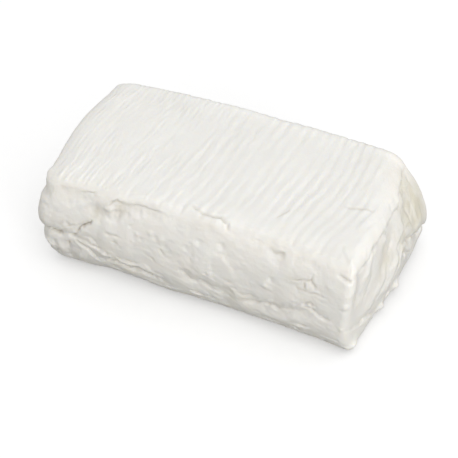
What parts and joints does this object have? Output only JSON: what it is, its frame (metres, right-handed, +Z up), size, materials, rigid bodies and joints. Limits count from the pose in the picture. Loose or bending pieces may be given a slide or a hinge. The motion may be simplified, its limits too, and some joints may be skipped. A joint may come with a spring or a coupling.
{
  "type": "stracchino cheese block",
  "caption": "Whole oblong block of soft fresh stracchino cheese, with draining-mat lines across its top, creased bulging sides and a flat foot",
  "frame": {"origin": "middle of the flat foot, on the surface that the block rests on", "axes": "+X along the block to its leaning end, -Y to the long side with the creases, +Z up"},
  "size_m": [0.1792, 0.0944, 0.0639],
  "materials": {
    "cheese": "moist milk-white soft cheese, satin, lightly wrinkled"
  },
  "bodies": {
    "root": {"stracchino": "cheese"}
  },
  "joints": []
}
